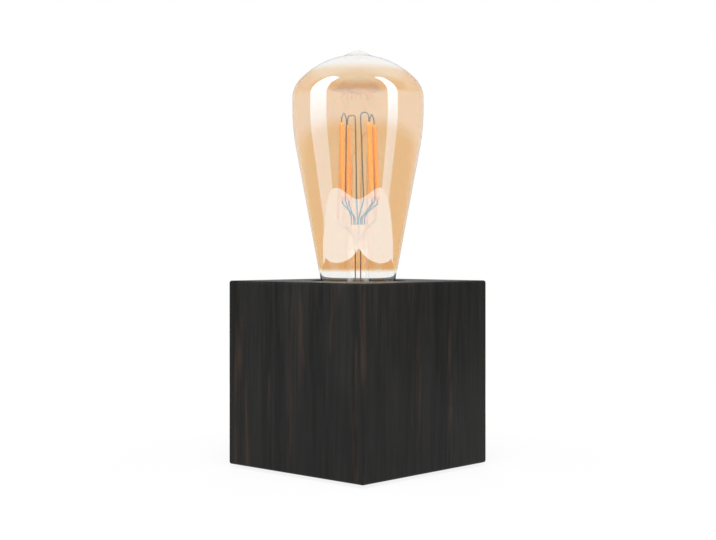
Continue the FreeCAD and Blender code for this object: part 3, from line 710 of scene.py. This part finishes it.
def bulb_cap_shell():
    """The thin rolled shell: a round foot, the thread and a flared rim."""
    foot, top, rim = shell_low.z, shell_high.z, shell_high.x
    low, high = foot + CAP_THREAD_START, top - CAP_THREAD_END
    round_radius = CAP_CREST - CAP_FOOT_ROUND
    outer = [(CAP_FOOT_RADIUS, foot), (round_radius, foot)]
    outer += arc((round_radius, foot + CAP_FOOT_ROUND), CAP_FOOT_ROUND, -70, 0, 5)
    wall_foot = foot + CAP_STRAIGHT_FOOT
    outer += straight((CAP_CREST, wall_foot), (CAP_CREST, top - CAP_STRAIGHT_TOP), 110)
    outer += [(CAP_CREST + CAP_FLARE_REACH, top - CAP_FLARE_FOOT), (rim, top - CAP_RIM_FOOT)]
    outer += [(rim, top - CAP_RIM_TOP), (rim - CAP_RIM_ROUND, top)]
    inner = []
    for across, up in outer:
        inner.append((across - CAP_WALL, up + (CAP_WALL if up < wall_foot else 0)))
    made = threaded("cap_shell", outer + inner[::-1], low, high)
    stand_for(made, "cap_metal", "bulb", "bulb_cap_shell")


bulb_cap_shell()


# ---- Floor, backdrop, lights and camera ----


CAMERA_TURN = 43
CAMERA_DISTANCE = 0.647
CAMERA_HEIGHT = 0.106
LENS = 66
SENSOR = 36

# The photo's width, and how far the middle of its view lies below the level line, in pixels.
PHOTO_WIDTH = 716
LENS_SHIFT = -19

# Half sizes of the white table top, and where it starts and ends its turn to backdrop.
FLOOR_DEPTH = 0.406
FLOOR_WIDTH = 0.504
FLOOR_CORNER = 0.8
FLOOR_STEPS = 120
FLOOR_NEAR = 0.10
FLOOR_REACH = 0.36
FLOOR_PAINT = (0.25, 0.25, 0.25, 1)
FLOOR_GLOW = 1.1
FLOOR_GLOW_SHARE = 0.80

# What gloss sees of the room, from straight down (0) to straight up (1), and its brightness.
ROOM_BAND = ((0.40, 0.05), (0.44, 0.08), (0.50, 0.60), (0.57, 0.60), (0.68, 0.10), (1.0, 0.12))
AMBIENT = 0.35

# The white sweep behind the lamp: how far round and how high it comes in, and its brightness.
SWEEP_TURN = (-0.05, 0.35)
SWEEP_RISE = (0.1, 0.5)
SWEEP_LIGHT = 0.35

# The share of a soft box's height between which it goes from dim to bright.
FADE_LOW = 0.206
FADE_HIGH = 0.426
FILL_TARGET = 0.1


def around_lamp(turn, distance, height):
    """A place round the lamp: turn is in degrees to the right of the camera, seen from above."""
    angle = math.radians(CAMERA_TURN + turn)
    return Vector((math.sin(angle) * distance, -math.cos(angle) * distance, height))


def studio_floor():
    """A white table top with round corners.

    It keeps the soft shadow, and elsewhere it reads as the backdrop.
    """
    vertices = []
    for step in range(FLOOR_STEPS):
        angle = 2 * math.pi * step / FLOOR_STEPS
        deep = rounded(math.cos(angle), FLOOR_CORNER) * FLOOR_DEPTH
        wide = rounded(math.sin(angle), FLOOR_CORNER) * FLOOR_WIDTH
        vertices.append(around_lamp(0, deep, 0) + around_lamp(90, wide, 0))
    floor = mesh_object("floor", vertices, [tuple(range(FLOOR_STEPS))], smooth=False)
    material = bpy.data.materials.new("floor")
    material.use_nodes = True
    material.node_tree.nodes.clear()
    made = Nodes(material.node_tree)
    paint = made.node("ShaderNodeBsdfDiffuse", Color=FLOOR_PAINT)
    glow = made.node("ShaderNodeEmission", Color=WHITE, Strength=FLOOR_GLOW)
    reach = made.node("ShaderNodeVectorMath", operation="LENGTH")
    made.link(made.node("ShaderNodeTexCoord").outputs["Object"], reach.inputs[0])
    fade = made.span(
        reach.outputs["Value"], FLOOR_NEAR, FLOOR_REACH, FLOOR_GLOW_SHARE, 1, smooth=True)
    seen = made.ray_kind("Is Camera Ray", "Is Glossy Ray", "Is Transmission Ray")
    share = made.maths("MULTIPLY", seen, fade)
    surface = made.mixed_shaders(share, paint.outputs[0], glow.outputs[0])
    made.link(surface, made.node("ShaderNodeOutputMaterial").inputs["Surface"])
    floor.data.materials.append(material)


def studio_world():
    """White to the eye and through glass.

    Gloss sees a dim room with a pale band at eye level, and a soft white sweep that rises behind
    the lamp. Matt surfaces see an even, dim light.
    """
    world = bpy.data.worlds.new("studio")
    bpy.context.scene.world = world
    world.use_nodes = True
    world.node_tree.nodes.clear()
    made = Nodes(world.node_tree)
    toward = made.node("ShaderNodeTexCoord").outputs["Generated"]
    up = made.part(toward, "Z")
    band = made.ramp(made.span(up, -1, 1), *[(place, (level,) * 3) for place, level in ROOM_BAND])
    white = made.node("ShaderNodeBackground", Color=WHITE).outputs[0]
    ambient = made.node("ShaderNodeBackground", Color=WHITE, Strength=AMBIENT).outputs[0]
    room = made.node("ShaderNodeBackground")
    made.link(band, room.inputs["Color"])
    behind = made.node("ShaderNodeVectorMath", operation="DOT_PRODUCT")
    behind.inputs[1].default_value = around_lamp(180, 1, 0)
    made.link(toward, behind.inputs[0])
    turned = made.span(behind.outputs["Value"], *SWEEP_TURN, smooth=True)
    risen = made.span(up, *SWEEP_RISE, 0, SWEEP_LIGHT, smooth=True)
    sweep = made.maths("MULTIPLY", turned, risen)
    glossy = made.mixed_shaders(sweep, room.outputs[0], white)
    unseen = made.mixed_shaders(made.ray_kind("Is Glossy Ray"), ambient, glossy)
    seen = made.ray_kind("Is Camera Ray", "Is Transmission Ray")
    surface = made.mixed_shaders(seen, unseen, white)
    made.link(surface, made.node("ShaderNodeOutputWorld").inputs["Surface"])


def aim(made, place, target):
    """Put a light or camera at a place and turn it to a target."""
    made.location = place
    made.rotation_euler = (target - place).to_track_quat("-Z", "Y").to_euler()


def soft_box(name, turn, distance, height, width, tall, power, low=1.0, gloss=True):
    """An area light whose foot has the share low of its brightness.

    One with gloss stands upright and shows in reflections alone. One without it aims at the
    lamp and lights matt surfaces alone.
    """
    lamp = bpy.data.lights.new(name, "AREA")
    lamp.shape = "RECTANGLE"
    lamp.size = width
    lamp.size_y = tall
    lamp.energy = power
    lamp.use_nodes = True
    beam = Nodes(lamp.node_tree)
    rise = beam.part(beam.node("ShaderNodeNewGeometry").outputs["Parametric"], "Y")
    fade = beam.span(rise, FADE_LOW, FADE_HIGH, low, smooth=True)
    beam.link(fade, lamp.node_tree.nodes["Emission"].inputs["Strength"])
    made = bpy.data.objects.new(name, lamp)
    bpy.context.scene.collection.objects.link(made)
    target = Vector((0, 0, height if gloss else FILL_TARGET))
    aim(made, around_lamp(turn, distance, height), target)
    made.visible_camera = False
    made.visible_transmission = False
    made.visible_glossy = gloss
    made.visible_diffuse = not gloss


def camera():
    """The camera that took the photo, level with a shifted lens."""
    lens = bpy.data.cameras.new("camera")
    lens.lens = LENS
    lens.sensor_width = SENSOR
    lens.shift_y = LENS_SHIFT / PHOTO_WIDTH
    lens.clip_start = 0.01
    made = bpy.data.objects.new("camera", lens)
    bpy.context.scene.collection.objects.link(made)
    aim(made, around_lamp(0, CAMERA_DISTANCE, CAMERA_HEIGHT), Vector((0, 0, CAMERA_HEIGHT)))
    bpy.context.scene.camera = made


studio_floor()
studio_world()

# Degrees round from the camera, distance, height, width and tallness in metres, and power.
soft_box("soft_box_left", -73, 1.2, 1.0, 0.75, 3.4, 19, low=0.3)
soft_box("soft_box_right", 62, 1.2, 1.0, 0.42, 3.4, 11, low=0.3)
soft_box("top_box", 0, 0.5, 1.3, 1.0, 1.0, 36, gloss=False)
soft_box("front_fill", 0, 0.36, 0.1, 0.1, 0.1, 1.5, gloss=False)
soft_box("back_fill", 180, 0.9, 0.4, 0.4, 0.4, 7, gloss=False)
camera()
bpy.context.scene.view_settings.view_transform = "Standard"
